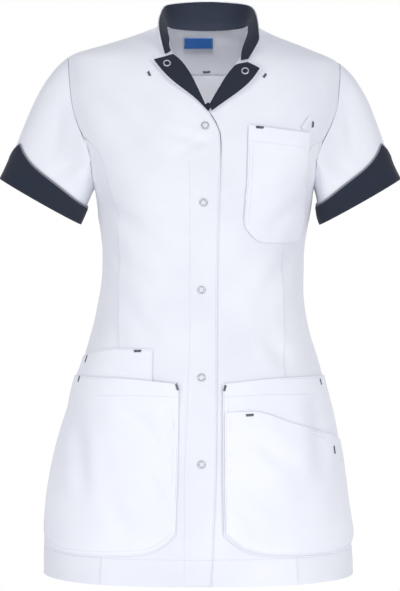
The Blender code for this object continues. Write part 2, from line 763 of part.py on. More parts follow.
def make_snap(name, x, height, lift):
    """An open ring snap lying on the cloth."""
    angle = angle_at(x, height)
    normal = form_normal(angle, height)
    middle = form_point(angle, height) + normal * lift
    side = np.cross([0, 0, 1], normal)
    side /= np.linalg.norm(side)
    up = np.cross(normal, side)
    profile = [(SNAP_RADIUS, 0.0), (SNAP_RADIUS, 0.5 * SNAP_HEIGHT), (SNAP_RADIUS - 0.8, SNAP_HEIGHT),
               (SNAP_HOLE + 0.3, SNAP_HEIGHT), (SNAP_HOLE, 0.0)]
    count = 16
    points = []
    for k in range(count):
        turn = 2 * pi * k / count
        for radius, rise in profile:
            points.append(middle + side * radius * cos(turn) + up * radius * sin(turn) + normal * rise)
    faces = []
    size = len(profile)
    for k in range(count):
        n = (k + 1) % count
        for m in range(size):
            w = (m + 1) % size
            faces.append([k * size + m, n * size + m, n * size + w, k * size + w])
    return make_object(name, points, faces, MATERIALS["steel"])


for old in list(bpy.data.objects):
    bpy.data.objects.remove(old, do_unlink=True)
TUNIC = bpy.data.collections.new("tunic")
bpy.context.scene.collection.children.link(TUNIC)
MATERIALS = {
    "white": material("white_cloth", WHITE, 0.0, 0.85),
    "navy": material("navy_cloth", NAVY, 0.0, 0.85),
    "grey": material("grey_piping", GREY, 0.0, 0.8),
    "steel": material("snap_steel", STEEL, 1.0, 0.3),
    "blue": material("label_blue", BLUE, 0.0, 0.7),
}


def beneath(point):
    """The left front passes under the right front as far as the front edge."""
    edge = RIGHT_EDGE_X(min(point[2], 640.0))
    depth = 1 - soft_step(edge + 3, edge + 28, point[0])
    return -CLOTH - (CLOTH + 1.1) * depth * (1 - soft_step(628, 652, point[2]))


RIGHT_EDGE_X = column(RIGHT_FRONT_EDGE, 1)
panel("front_right", front_grid(-1), MATERIALS["white"], -CLOTH)
panel("front_left", front_grid(1), MATERIALS["white"], beneath)
panel("side_front_right", side_front_grid(-1), MATERIALS["white"], -CLOTH)
panel("side_front_left", side_front_grid(1), MATERIALS["white"], -CLOTH)
panel("side_back_left", back_grid(-1, 7), MATERIALS["white"], -CLOTH)
panel("back", back_grid(0, 11), MATERIALS["white"], -CLOTH)
panel("side_back_right", back_grid(1, 7), MATERIALS["white"], -CLOTH)
panel("back_yoke", yoke_grid(), MATERIALS["white"], -DOUBLE, DOUBLE)
make_sleeve(-1, "right")
make_sleeve(1, "left")
make_collar()
make_lapel(LAPEL_RIGHT, 0, 0.7, 1.0, 0.0, "revers_right", "white")
make_lapel(LAPEL_RIGHT, 0, 2.1, 1.0, 1.6, "revers_facing_right", "navy")
make_lapel(LAPEL_LEFT, 7, 0.7, 1.0, 0.0, "revers_left", "white")
make_lapel(LAPEL_LEFT, 7, 2.1, 1.0, 1.6, "revers_facing_left", "navy")
make_pockets()
make_pen_tab()
make_label()
for snap_name, snap_x, snap_height in SNAPS:
    make_snap(snap_name, snap_x, snap_height, 0.4)
for snap_name, snap_x, snap_height in LAPEL_SNAPS:
    make_snap(snap_name, snap_x, snap_height, 3.5)
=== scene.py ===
# %% [markdown]
# Women's medical tunic, white with navy contrast
# This lesson dresses a plain CAD model of a short-sleeved medical tunic. The cloth walls of the
# model are already cut and shaped like the real panels. Here they get what a sewing room and a
# wearer add: soft creases, twill, piping, topstitching, bar tacks and bright ring snaps.

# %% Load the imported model
import bmesh
import bpy
from math import atan2, cos, degrees, exp, hypot, pi, radians, sin
from mathutils import Matrix, Vector, noise
from mathutils.bvhtree import BVHTree
import json

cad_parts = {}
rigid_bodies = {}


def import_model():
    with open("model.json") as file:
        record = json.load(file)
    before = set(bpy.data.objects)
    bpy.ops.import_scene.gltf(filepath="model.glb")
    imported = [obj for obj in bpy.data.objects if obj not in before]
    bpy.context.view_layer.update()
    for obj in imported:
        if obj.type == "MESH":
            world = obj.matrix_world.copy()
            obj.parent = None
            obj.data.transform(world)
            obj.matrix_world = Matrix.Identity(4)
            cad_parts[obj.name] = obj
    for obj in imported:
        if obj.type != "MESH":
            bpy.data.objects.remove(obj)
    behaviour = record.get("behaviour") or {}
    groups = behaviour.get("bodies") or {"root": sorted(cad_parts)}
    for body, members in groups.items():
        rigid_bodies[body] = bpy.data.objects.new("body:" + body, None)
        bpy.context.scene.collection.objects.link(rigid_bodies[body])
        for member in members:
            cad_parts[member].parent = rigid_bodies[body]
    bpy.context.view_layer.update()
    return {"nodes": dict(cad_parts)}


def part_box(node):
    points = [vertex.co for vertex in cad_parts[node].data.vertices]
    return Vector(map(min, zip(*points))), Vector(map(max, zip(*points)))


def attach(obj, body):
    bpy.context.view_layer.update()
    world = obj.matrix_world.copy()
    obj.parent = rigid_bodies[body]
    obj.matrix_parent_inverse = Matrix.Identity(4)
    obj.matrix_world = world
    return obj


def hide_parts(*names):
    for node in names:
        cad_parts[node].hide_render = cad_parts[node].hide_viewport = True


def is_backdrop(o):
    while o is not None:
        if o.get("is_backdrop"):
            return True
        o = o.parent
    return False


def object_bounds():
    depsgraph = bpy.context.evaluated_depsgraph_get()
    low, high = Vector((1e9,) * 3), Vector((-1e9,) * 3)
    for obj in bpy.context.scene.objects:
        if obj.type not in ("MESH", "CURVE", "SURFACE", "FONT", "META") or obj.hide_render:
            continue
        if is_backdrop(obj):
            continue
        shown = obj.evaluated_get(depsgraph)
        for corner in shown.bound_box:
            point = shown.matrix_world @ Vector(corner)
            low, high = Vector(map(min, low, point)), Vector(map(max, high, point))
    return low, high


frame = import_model()
nodes = frame["nodes"]
MM = 0.001
NECK = 0.744             # the origin is this far above the hem

# %% [markdown]
# Colours are easiest to name as hex values, the way a cloth supplier's card gives them. Blender
# mixes light in linear values, so one function turns hex into linear. A second small function
# adds one node to a material with its settings and links, and every finish below is made with it.

# %% Two helpers for materials
def linear(hex_code):
    channels = [int(hex_code[i:i + 2], 16) / 255 for i in (1, 3, 5)]
    return tuple(c / 12.92 if c <= 0.04045 else ((c + 0.055) / 1.055) ** 2.4 for c in channels) + (1.0,)


def add_node(tree, kind, settings=None, inputs=None, links=None):
    """Adds a node. settings are its properties, inputs its values, links what feeds a socket."""
    node = tree.nodes.new(kind)
    for key, value in (settings or {}).items():
        setattr(node, key, value)
    for key, value in (inputs or {}).items():
        node.inputs[key].default_value = value
    for key, source in (links or {}).items():
        tree.links.new(source, node.inputs[key])
    return node


def new_material(name, colour, roughness, metallic=0.0):
    material = bpy.data.materials.new(name)
    material.use_nodes = True
    shader = material.node_tree.nodes["Principled BSDF"]
    shader.inputs["Base Color"].default_value = linear(colour)
    shader.inputs["Roughness"].default_value = roughness
    shader.inputs["Metallic"].default_value = metallic
    material.diffuse_color = linear(colour)
    return material, material.node_tree, shader


# A Mix node keeps separate sockets for floats, vectors and colours under one name, so the colour
# ones are picked by their place in the list.
def colour_mix(tree, factor, first, second):
    mix = add_node(tree, "ShaderNodeMix", {"data_type": "RGBA"}, links={0: factor})
    mix.inputs[6].default_value = first
    mix.inputs[7].default_value = second
    return mix.outputs[2]


print("navy in linear light:", [round(c, 3) for c in linear("#1d2538")])

# %% [markdown]
# The cloth is a twill of two thirds polyester and one third cotton, about 215 grams a square
# metre. Its diagonal ribs are half a millimetre apart, too fine to show here, so they are drawn
# at 1.6 mm. The ribs follow each piece's own UV map, which is in metres of cloth. A slow noise
# gives the slightly uneven shade that washed white workwear has.

# %% Twill cloth
TWILL_RIB = 1.6 * MM
SLUB = 7 * MM


def twill(name, colour, shade, sheen, ribs=0.16, roughness=0.86):
    material, tree, shader = new_material(name, colour, roughness)
    uv = add_node(tree, "ShaderNodeTexCoord").outputs["UV"]
    turned = add_node(tree, "ShaderNodeMapping", inputs={"Rotation": (0, 0, radians(-62))},
                      links={"Vector": uv}).outputs["Vector"]
    rib = add_node(tree, "ShaderNodeTexWave", {"wave_type": "BANDS", "bands_direction": "X"},
                   {"Scale": 0.314 / TWILL_RIB, "Distortion": 0.6, "Detail": 1.0, "Detail Scale": 2.0},
                   {"Vector": turned}).outputs["Fac"]
    slub = add_node(tree, "ShaderNodeTexNoise", inputs={"Scale": 1 / SLUB, "Detail": 4.0, "Roughness": 0.6},
                    links={"Vector": uv}).outputs["Fac"]
    wash = add_node(tree, "ShaderNodeTexNoise", inputs={"Scale": 9.0, "Detail": 2.0},
                    links={"Vector": uv}).outputs["Fac"]
    worn = add_node(tree, "ShaderNodeMapRange", inputs={"From Min": 0.3, "From Max": 0.7, "To Max": 1.0},
                    links={"Value": wash}).outputs["Result"]
    tint = colour_mix(tree, worn, linear(colour), linear(shade))
    grain = add_node(tree, "ShaderNodeMath", {"operation": "MULTIPLY_ADD"}, {1: 0.55},
                     {0: slub, 2: rib}).outputs["Value"]
    bump = add_node(tree, "ShaderNodeBump", inputs={"Strength": ribs, "Distance": 0.0004},
                    links={"Height": grain}).outputs["Normal"]
    tree.links.new(tint, shader.inputs["Base Color"])
    tree.links.new(bump, shader.inputs["Normal"])
    shader.inputs["Sheen Weight"].default_value = sheen
    shader.inputs["Sheen Roughness"].default_value = 0.5
    return material


WHITE_TWILL = twill("poly-cotton twill, white", "#f2f3f8", "#e9ebf2", 0.12)
NAVY_TWILL = twill("poly-cotton twill, navy", "#1d2538", "#19202f", 0.06, ribs=0.3)
POCKET_TWILL = twill("poly-cotton twill, white, two layers", "#f6f7fd", "#eff1f8", 0.12)
PIPING = twill("woven piping, grey", "#8b8e98", "#7d8089", 0.15, ribs=0.3)
LABEL = twill("woven label, blue", "#2a70c2", "#2666b4", 0.1, ribs=0.5, roughness=0.7)
print("cloths made: white, pocket white, navy, piping, label")

# %% [markdown]
# Two threads and one metal are left. The threads are spun polyester: white for the topstitching,
# navy for the bar tacks. The ring snaps are brass with bright nickel plate, which is a metal with
# low roughness and a faint unevenness from tumbling.

# %% Threads and nickel
def thread(name, colour, twist_mm):
    material, tree, shader = new_material(name, colour, 0.6)
    place = add_node(tree, "ShaderNodeTexCoord").outputs["Object"]
    twist = add_node(tree, "ShaderNodeTexWave", {"wave_type": "BANDS", "bands_direction": "DIAGONAL"},
                     {"Scale": 0.314 / (twist_mm * MM)}, {"Vector": place}).outputs["Fac"]
    bump = add_node(tree, "ShaderNodeBump", inputs={"Strength": 0.5, "Distance": 0.0003},
                    links={"Height": twist}).outputs["Normal"]
    tree.links.new(bump, shader.inputs["Normal"])
    shader.inputs["Sheen Weight"].default_value = 0.2
    return material


WHITE_THREAD = thread("spun polyester thread, white", "#e3e5ec", 0.8)
NAVY_THREAD = thread("spun polyester thread, navy", "#2b3346", 0.8)
NICKEL, nickel_tree, nickel_shader = new_material("brass, bright nickel plated", "#c9cacd", 0.24, 1.0)
place = add_node(nickel_tree, "ShaderNodeTexCoord").outputs["Object"]
tumbled = add_node(nickel_tree, "ShaderNodeTexNoise", inputs={"Scale": 900.0, "Detail": 3.0},
                   links={"Vector": place}).outputs["Fac"]
rough = add_node(nickel_tree, "ShaderNodeMapRange", inputs={"To Min": 0.18, "To Max": 0.36},
                 links={"Value": tumbled}).outputs["Result"]
nickel_tree.links.new(rough, nickel_shader.inputs["Roughness"])
print("threads and nickel made")

# %% [markdown]
# Creases come next. On a worn tunic they are few and soft: short drags at each snap, long dips
# that fall from the shoulders and run from the underarm, and troughs in the patch pockets, where
# the cloth hangs double. Each is a row in a table: where it starts and ends as seen from the
# front or the back, how wide and how deep it is. The two ends fade out, so no crease has an edge.
# The same dip moves every layer at that place, so a pocket follows the panel that it lies on.

# %% Creases of the body
CREASES = [
    # face, x1, height1, x2, height2, half width, depth, all in millimetres
    ("front", -114, 240, -40, 176, 10, 1.9),
    ("front", -54, 237, -38, 204, 7, 1.4),
    ("front", -73, 144, -53, 113, 8, 1.5),
    ("front", -168, 212, -158, 120, 10, 1.8),
    ("front", -128, 120, -96, 62, 11, 1.3),
    ("front", 62, 205, 128, 150, 11, 1.5),
    ("front", 150, 250, 163, 150, 11, 1.7),
    ("front", 44, 120, 78, 66, 9, 1.1),
    ("front", -36, 598, 8, 584, 6, 1.0),
    ("front", -30, 572, 6, 592, 5, 0.8),
    ("front", -52, 528, 0, 506, 6, 1.1),
    ("front", 24, 500, 66, 522, 6, 0.9),
    ("front", -48, 408, -4, 392, 5, 1.0),
    ("front", 22, 386, 70, 404, 6, 0.9),
    ("front", -44, 290, -5, 277, 5, 0.9),
    ("front", 22, 268, 50, 284, 5, 0.7),
    ("front", -38, 176, -4, 163, 5, 0.8),
    ("front", -150, 655, -66, 560, 15, 1.5),
    ("front", -118, 690, -70, 640, 12, 1.0),
    ("front", 155, 650, 70, 566, 15, 1.4),
    ("front", 120, 684, 78, 636, 12, 0.9),
    ("front", -140, 512, -84, 470, 9, 1.6),
    ("front", 144, 515, 92, 476, 9, 1.5),
    ("front", -128, 440, -62, 398, 10, 1.2),
    ("front", 84, 330, 116, 288, 9, 1.5),
    ("front", 128, 446, 74, 372, 11, 1.2),
    ("front", -104, 372, -62, 322, 9, 1.1),
    ("back", -120, 640, -34, 540, 14, 1.8),
    ("back", 118, 636, 40, 548, 14, 1.6),
    ("back", -60, 640, -12, 470, 13, 1.3),
    ("back", 74, 600, 22, 452, 12, 1.4),
    ("back", -136, 520, -58, 474, 10, 1.8),
    ("back", 138, 524, 64, 462, 10, 1.7),
    ("back", -112, 462, -20, 430, 9, 1.7),
    ("back", 104, 440, 18, 404, 9, 1.6),
    ("back", -92, 400, 10, 384, 9, 1.5),
    ("back", 96, 372, -6, 352, 9, 1.3),
    ("back", -70, 344, -30, 190, 13, 1.6),
    ("back", 84, 330, 60, 140, 14, 1.8),
    ("back", 8, 300, 16, 90, 13, 1.5),
    ("back", -140, 250, -132, 80, 12, 1.7),
    ("back", 140, 240, 150, 60, 12, 1.5),
]


def crease_dip(x, y, height):
    """How far in the creases take the cloth at this place, in millimetres."""
    face = "front" if y < 0 else "back"
    total = 0.0
    for side, x1, h1, x2, h2, half, depth in CREASES:
        if side != face:
            continue
        dx, dh = x2 - x1, h2 - h1
        length = hypot(dx, dh)
        along = ((x - x1) * dx + (height - h1) * dh) / length ** 2
        if not -0.3 < along < 1.3:
            continue
        away = ((x - x1) * dh - (height - h1) * dx) / length
        if abs(away) > 4 * half:
            continue
        end = max(0.0, 1 - abs(2 * along - 1) ** 2.4 / 1.6)
        total += depth * end * (exp(-(away / half) ** 2) - 0.45 * exp(-((abs(away) - 2 * half) / half) ** 2))
    uneven = noise.noise(Vector((x, y, height)) / 55) * 0.8 + noise.noise(Vector((x, y, height)) / 21) * 0.25
    return total + uneven


print("creases on the body:", len(CREASES))

# %% [markdown]
# Each cloth piece starts as a copy of its CAD wall, so it keeps the true cut. The copy is merged,
# its triangles become quads, and its rim is creased. Subdivision then rounds the facets while
# the rim stays crisp, and at about 5 mm a face there is enough mesh to take the creases.
# Creases fade out close to a sleeve, where the armhole seam holds the cloth.

# %% From a CAD wall to smooth cloth
CREASE_GAIN = 1.7        # soft frontal light hides shallow creases, so all are cut this much deeper
FADE_NEAR = 3 * MM
FADE_FAR = 28 * MM
MERGE = 0.00002          # points nearer than this, in metres, are one
HALF_WIDTH, HALF_DEPTH = 0.150, 0.105    # the body's section, roughly an ellipse
BODY_RADIUS = 0.13       # turns an angle round the body into metres of cloth


def merged_copy(node_name):
    """A bmesh of a CAD node with its triangles joined and its sharp rim creased."""
    work = bmesh.new()
    work.from_mesh(nodes[node_name].data)
    bmesh.ops.remove_doubles(work, verts=work.verts[:], dist=MERGE)
    bmesh.ops.join_triangles(work, faces=work.faces[:], angle_face_threshold=radians(35),
                             angle_shape_threshold=radians(60))
    crease = work.edges.layers.float.new("crease_edge")
    for edge in work.edges:
        if len(edge.link_faces) == 2 and edge.calc_face_angle() > radians(42):
            edge[crease] = 1.0
    return work


def refined(node_name, levels):
    """The smooth mesh of a CAD node, as a new object at the origin."""
    work = merged_copy(node_name)
    mesh = bpy.data.meshes.new(node_name + "_cloth")
    work.to_mesh(mesh)
    work.free()
    piece = bpy.data.objects.new(node_name + "_cloth", mesh)
    bpy.context.scene.collection.objects.link(piece)
    rounder = piece.modifiers.new("rounder", "SUBSURF")
    rounder.levels = levels
    rounder.render_levels = levels
    rounder.use_limit_surface = False
    view = bpy.context.evaluated_depsgraph_get()
    smooth = bpy.data.meshes.new_from_object(piece.evaluated_get(view))
    piece.modifiers.clear()
    piece.data = smooth
    bpy.data.meshes.remove(mesh)
    for face in smooth.polygons:
        face.use_smooth = True
    return piece


def sharp_rims(mesh, angle=50):
    """Marks the crisp edges, so that shading breaks at the rim of the cloth."""
    work = bmesh.new()
    work.from_mesh(mesh)
    for edge in work.edges:
        edge.smooth = not (len(edge.link_faces) == 2 and edge.calc_face_angle() > radians(angle))
    work.to_mesh(mesh)
    work.free()


def tree_of(*names):
    """A search tree over some CAD nodes, for distances and ray casts."""
    work = bmesh.new()
    for name in names:
        work.from_mesh(nodes[name].data)
    tree = BVHTree.FromBMesh(work)
    work.free()
    return tree


SLEEVE_TREE = tree_of("sleeve_right", "sleeve_left")
BODY_TREE = tree_of("front_right", "front_left", "side_front_right", "side_front_left", "back",
                    "side_back_right", "side_back_left", "back_yoke")


def fade(tree, point):
    distance = tree.find_nearest(point)[3]
    t = min(max((distance - FADE_NEAR) / (FADE_FAR - FADE_NEAR), 0.0), 1.0)
    return t * t * (3 - 2 * t)


def outward(point):
    """Straight out of the body at this place, level with the floor."""
    way = Vector((point.x / HALF_WIDTH ** 2, point.y / HALF_DEPTH ** 2, 0))
    return way.normalized() if way.length > 1e-6 else Vector((0, -1, 0))


def map_cloth(piece, place):
    """Gives the piece a UV map in metres of cloth. place turns a point into (u, v)."""
    layer = piece.data.uv_layers.new(name="cloth")
    spots = [place(v.co) for v in piece.data.vertices]
    for loop in piece.data.loops:
        layer.data[loop.index].uv = spots[loop.vertex_index]


def round_body(point):
    """Cloth distance round the body from the centre front, with the join at the centre back."""
    return (atan2(point.x, -point.y) * BODY_RADIUS, point.z)


def round_back(point):
    """The same for the back, from the centre back, so that no piece crosses the join."""
    return (atan2(-point.x, point.y) * BODY_RADIUS, point.z)


def finish_cloth(piece, node_name, material, place):
    map_cloth(piece, place)
    sharp_rims(piece.data)
    piece.data.materials.clear()
    piece.data.materials.append(material)
    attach(piece, "root")
    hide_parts(node_name)
    area = sum(face.area for face in piece.data.polygons) / 2
    print(piece.name, "faces", len(piece.data.polygons), "cloth", round(area, 4), "m2")
    return piece


def dress_body(node_name, material=WHITE_TWILL, gape=None):
    """A piece on the body: its own smooth form, dipped by the creases."""
    piece = refined(node_name, 2)
    for vertex in piece.data.vertices:
        x, y, height = vertex.co.x / MM, vertex.co.y / MM, (vertex.co.z + NECK) / MM
        dip = CREASE_GAIN * crease_dip(x, y, height) * fade(SLEEVE_TREE, vertex.co)
        lift = gape(x, height) if gape else 0.0
        vertex.co += outward(vertex.co) * (lift - dip) * MM
    place = round_back if "back" in node_name else round_body
    return finish_cloth(piece, node_name, material, place)


cloth = {}
for name in ("front_right", "front_left", "side_front_right", "side_front_left", "back",
             "side_back_right", "side_back_left", "back_yoke"):
    cloth[name] = dress_body(name)

# %% [markdown]
# The sleeves get their own creases. A set-in sleeve pulls from the underarm towards the cuff, so
# the troughs start under the arm, where the cloth is spare, and die out across the front.
# Each row gives the turn round the sleeve (0 is the outer side, 90 the front), how far above the
# cuff edge it lies, its length, its width, its depth and its lean.

# %% Sleeves, cuffs and piping
SLEEVE_END = {"right": (-219.5, 507.0), "left": (214.5, 506.5)}
SLEEVE_LEAN = radians(29.5)
SLEEVE_RADIUS = 0.055
SLEEVE_GAIN = 1.4        # the sleeves' creases are cut this much deeper too
SLEEVE_CREASES = {
    # turn, above the end, length, width, depth, lean of the crease
    "right": [(128, 86, 64, 8.0, 2.6, 48), (104, 62, 54, 7.0, 1.9, 30), (60, 98, 58, 9.0, 1.3, -24),
              (236, 84, 60, 8.0, 2.2, -44), (270, 60, 52, 7.0, 1.6, -22), (20, 120, 46, 9.0, 1.0, 12)],
    "left": [(126, 90, 60, 8.0, 2.4, 44), (98, 66, 58, 7.5, 2.0, 34), (52, 92, 50, 9.0, 1.2, -18),
             (232, 80, 62, 8.0, 2.3, -40), (262, 64, 48, 7.0, 1.5, -26), (-14, 116, 44, 9.0, 0.9, 16)],
}


def arm_frame(hand):
    """The sleeve's end centre, its axis from the shoulder to the cuff, and its outer side."""
    side = -1 if hand == "right" else 1
    x, height = SLEEVE_END[hand]
    return (Vector((x * MM, 0, height * MM - NECK)),
            Vector((side * sin(SLEEVE_LEAN), 0, -cos(SLEEVE_LEAN))),
            Vector((side * cos(SLEEVE_LEAN), 0, sin(SLEEVE_LEAN))))


def arm_place(hand, point):
    """The turn in radians (0 outer, positive to the front), the way above the cuff edge, and out."""
    end, axis, across = arm_frame(hand)
    away = point - end
    out = away - axis * away.dot(axis)
    return atan2(-away.y, away.dot(across)), -away.dot(axis), out


def sleeve_dip(hand, turn, above):
    """Depth of the sleeve creases in mm."""
    total = 0.0
    for crease_turn, centre, length, width, depth, lean in SLEEVE_CREASES[hand]:
        gap = (degrees(turn) - crease_turn + 180) % 360 - 180
        u, v = gap * 0.96, above / MM - centre
        s = u * sin(radians(lean)) + v * cos(radians(lean))
        w = u * cos(radians(lean)) - v * sin(radians(lean))
        total += depth * exp(-(s / (0.5 * length)) ** 2) * (exp(-(w / width) ** 2)
                                                         - 0.35 * exp(-((w - 1.9 * width) / width) ** 2))
    return total


def dress_sleeve(node_name, hand, material, levels=2):
    piece = refined(node_name, levels)
    for vertex in piece.data.vertices:
        turn, above, out = arm_place(hand, vertex.co)
        hold = fade(BODY_TREE, vertex.co)
        rough = noise.noise(vertex.co * 46) * 0.35
        vertex.co -= out.normalized() * (SLEEVE_GAIN * sleeve_dip(hand, turn, above) + rough) * hold * MM

    def place(point):
        turn, above, _ = arm_place(hand, point)
        return (turn * SLEEVE_RADIUS, above)

    return finish_cloth(piece, node_name, material, place)


for hand in ("right", "left"):
    cloth["sleeve_" + hand] = dress_sleeve("sleeve_" + hand, hand, WHITE_TWILL)
    cloth["cuff_" + hand] = dress_sleeve("cuff_" + hand, hand, NAVY_TWILL)
    cloth["cuff_piping_" + hand] = dress_sleeve("cuff_piping_" + hand, hand, PIPING, 1)

# %% [markdown]
# The collar and the lapels are two layers each: white outside, navy inside, turned out so that the
# navy shows. The pockets lie on the fronts and take the same creases as the cloth below them, with
# their mouths lifted a little, as a used pocket's are.

# %% Collar, lapels, pockets and label
ROLL = {"right": ((6, 632), (-47, 741)), "left": ((8, 631), (61, 741))}
LAPEL_LIFT = 3.2         # how far the lapel's edge stands off the front, in mm


def lift_lapel(piece, hand):
    """Both layers of a lapel rise towards their edge, away from the roll line."""
    (x1, h1), (x2, h2) = ROLL[hand]
    length = hypot(x2 - x1, h2 - h1)
    for vertex in piece.data.vertices:
        x, height = vertex.co.x / MM - x1, (vertex.co.z + NECK) / MM - h1
        away = abs(x * (h2 - h1) - height * (x2 - x1)) / length
        vertex.co += outward(vertex.co) * LAPEL_LIFT * min(away / 26, 1.2) ** 1.5 * MM


def tuck_collar(piece):
    """At the back the inner collar's lower edge laps over the neck seam, and hides it."""
    low = min(v.co.z for v in piece.data.vertices if v.co.y > 0.02)
    for vertex in piece.data.vertices:
        back = min(max((vertex.co.y - 0.012) / 0.02, 0.0), 1.0)
        t = back * min(max(1 - (vertex.co.z - low) / (7 * MM), 0.0), 1.0)
        vertex.co += Vector((0, -2.8, -3.4)) * t * t * (3 - 2 * t) * MM


for name in ("collar_outer", "collar_inner", "revers_right", "revers_left", "revers_facing_right",
             "revers_facing_left"):
    navy = name == "collar_inner" or "facing" in name
    piece = refined(name, 2)
    if name.startswith("revers"):
        lift_lapel(piece, name.split("_")[-1])
    if name == "collar_inner":
        tuck_collar(piece)
    cloth[name] = finish_cloth(piece, name, NAVY_TWILL if navy else WHITE_TWILL,
                               round_body)


def mouth(left, right, low, high, lift):
    """A pocket mouth that stands off by lift in its middle, easing in from height low to high."""
    def gape(x, height):
        across = min(max((x - left) / (right - left), 0.0), 1.0)
        up = min(max((height - low) / (high - low), 0.0), 1.0)
        return lift * sin(pi * across) * up * up
    return gape


POCKETS = {
    # name: left, right, start of the lift, mouth height, lift
    "hip_pocket_right": (-145, -31, 225, 272, 2.0),
    "upper_pocket_right": (-140, -65, 285, 312, 0.8),
    "hip_pocket_left": (28, 145, 228, 273, 1.2),
    "slant_pocket_left": (30, 180, 170, 232, 1.6),
    "chest_pocket": (58, 140, 565, 606, 1.8),
}
for name, (left, right, low, high, lift) in POCKETS.items():
    cloth[name] = dress_body(name, POCKET_TWILL, gape=mouth(left, right, low, high, lift))
cloth["pen_tab"] = dress_body("pen_tab")
cloth["neck_label"] = finish_cloth(refined("neck_label", 2), "neck_label", LABEL, round_back)

# %% [markdown]
# The sewing comes next. A stitch is a short rod of thread half sunk in the cloth. Lines of them
# follow the rim of a piece at a set distance, or a short table of points given as the photo shows
# them, across and up. A ray drops each point onto the outermost cloth.

# %% Where the thread goes
def surface(*names):
    """A search tree over dressed pieces."""
    work = bmesh.new()
    for name in names:
        work.from_mesh(cloth[name].data)
    tree = BVHTree.FromBMesh(work)
    work.free()
    return tree


FRONTS = surface("front_right", "front_left", "side_front_right", "side_front_left", *POCKETS, "pen_tab")
BODY = surface("front_right", "front_left", "side_front_right", "side_front_left", "back",
               "side_back_right", "side_back_left", "back_yoke")
LAPELS = surface("revers_facing_right", "revers_facing_left")
IN_FRONT = -0.4          # rays start here, ahead of the garment, and run straight back
BACKWARD = Vector((0, 1, 0))


def drop(x, height, tree=None, start=IN_FRONT):
    """The outermost cloth at x and height, as a point and its normal, seen from the front."""
    return (tree or FRONTS).ray_cast(Vector((x * MM, start, height * MM - NECK)), BACKWARD)[:2]


def densify(points, step):
    """Points at equal steps along a line of 3-D points."""
    out, left = [points[0]], step
    for a, b in zip(points, points[1:]):
        length = (b - a).length
        while length > left:
            a = a + (b - a) * (left / length)
            out.append(a)
            length = (b - a).length
            left = step
        left -= length
    return out


def rim_paths(node_name, out):
    """The rims of a CAD wall's outer face as runs of points. out gives the outward way at a point."""
    work = merged_copy(node_name)
    crease = work.edges.layers.float.get("crease_edge")

    def faces_out(face):
        return face.normal.dot(out(face.calc_center_median())) > 0.45

    rim = [e for e in work.edges if e[crease] == 1.0 and sum(faces_out(f) for f in e.link_faces) == 1]
    links = {}
    for edge in rim:
        for vert in edge.verts:
            links.setdefault(vert, []).append(edge)
    runs, seen = [], set()
    for first in rim:
        if first in seen:
            continue
        run = [first.verts[0].co.copy()]
        edge, vert = first, first.verts[0]
        while edge:
            seen.add(edge)
            vert = edge.other_vert(vert)
            run.append(vert.co.copy())
            edge = next((e for e in links[vert] if e not in seen), None)
        runs.append(run)
    work.free()
    return [r for r in runs if len(r) > 3]


def along_rim(name, inset, keep=lambda p: True, out=outward):
    """Runs of points that follow a piece's rim at a distance, where keep allows them."""
    own = surface(name)
    runs = []
    for rim in rim_paths(name, out):
        path = densify(rim, 1.5 * MM)
        run = []
        for before, here, after in zip(path, path[1:], path[2:]):
            tangent = (after - before).normalized()
            sideways = tangent.cross(out(here)).normalized() * inset * MM
            target = min((own.find_nearest(here + sideways), own.find_nearest(here - sideways)),
                         key=lambda hit: hit[3])
            if keep(here) and target[3] < 5 * MM and target[1].dot(out(here)) > 0.2:
                run.append((target[0], target[1]))
            else:
                runs.append(run)
                run = []
        runs.append(run)
    return [r for r in runs if len(r) > 3]


def by_table(points, tree=None, start=IN_FRONT):
    """One run of points on the cloth, from a table of x and height."""
    flat = densify([Vector((x, h, 0)) for x, h in points], 1.5)
    hits = [drop(p.x, p.y, tree, start) for p in flat]
    return [[hit for hit in hits if hit[0] is not None]]


print("rims of the chest pocket:", [len(run) for run in rim_paths("chest_pocket", outward)])

# %% [markdown]
# One function sews them all. It walks along a run and lays a rod at every step. The calls below it
# follow the real garment: two rows round the chest and hip pockets, one along most other seams.

# %% Sewing it
STITCH = 2.2             # length of one stitch and the step between stitches, in mm
PITCH = 3.0
LONGEST_GAP = 12 * MM    # a wider gap between two points isn't sewn
ROD_SIDES = 5


def sew(name, runs, material=WHITE_THREAD, length=STITCH, pitch=PITCH, radius=0.24, lift=0.08):
    """One object of many stitches along the given runs of points and normals."""
    work = bmesh.new()
    for run in runs:
        travelled, due = 0.0, 0.0
        for (a, n), (b, m) in zip(run, run[1:]):
            step = (b - a).length
            if step > LONGEST_GAP:
                continue
            while step > 0 and travelled + step >= due:
                place = a + (b - a) * ((due - travelled) / step)
                way = (b - a).normalized()
                turn = way.to_track_quat("Z", "Y").to_matrix().to_4x4()
                bmesh.ops.create_cone(work, cap_ends=True, segments=ROD_SIDES, radius1=radius * MM,
                                      radius2=radius * MM, depth=length * MM,
                                      matrix=Matrix.Translation(place + n * lift * MM) @ turn)
                due += pitch * MM
            travelled += step
    mesh = bpy.data.meshes.new(name)
    work.to_mesh(mesh)
    count = len(work.verts) // (2 * ROD_SIDES)
    work.free()
    for face in mesh.polygons:
        face.use_smooth = len(face.vertices) == 4
    mesh.materials.append(material)
    piece = bpy.data.objects.new(name, mesh)
    bpy.context.scene.collection.objects.link(piece)
    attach(piece, "root")
    print(name, count, "stitches")


def above(height):
    return lambda p: (p.z + NECK) / MM > height


def below(height):
    return lambda p: (p.z + NECK) / MM < height


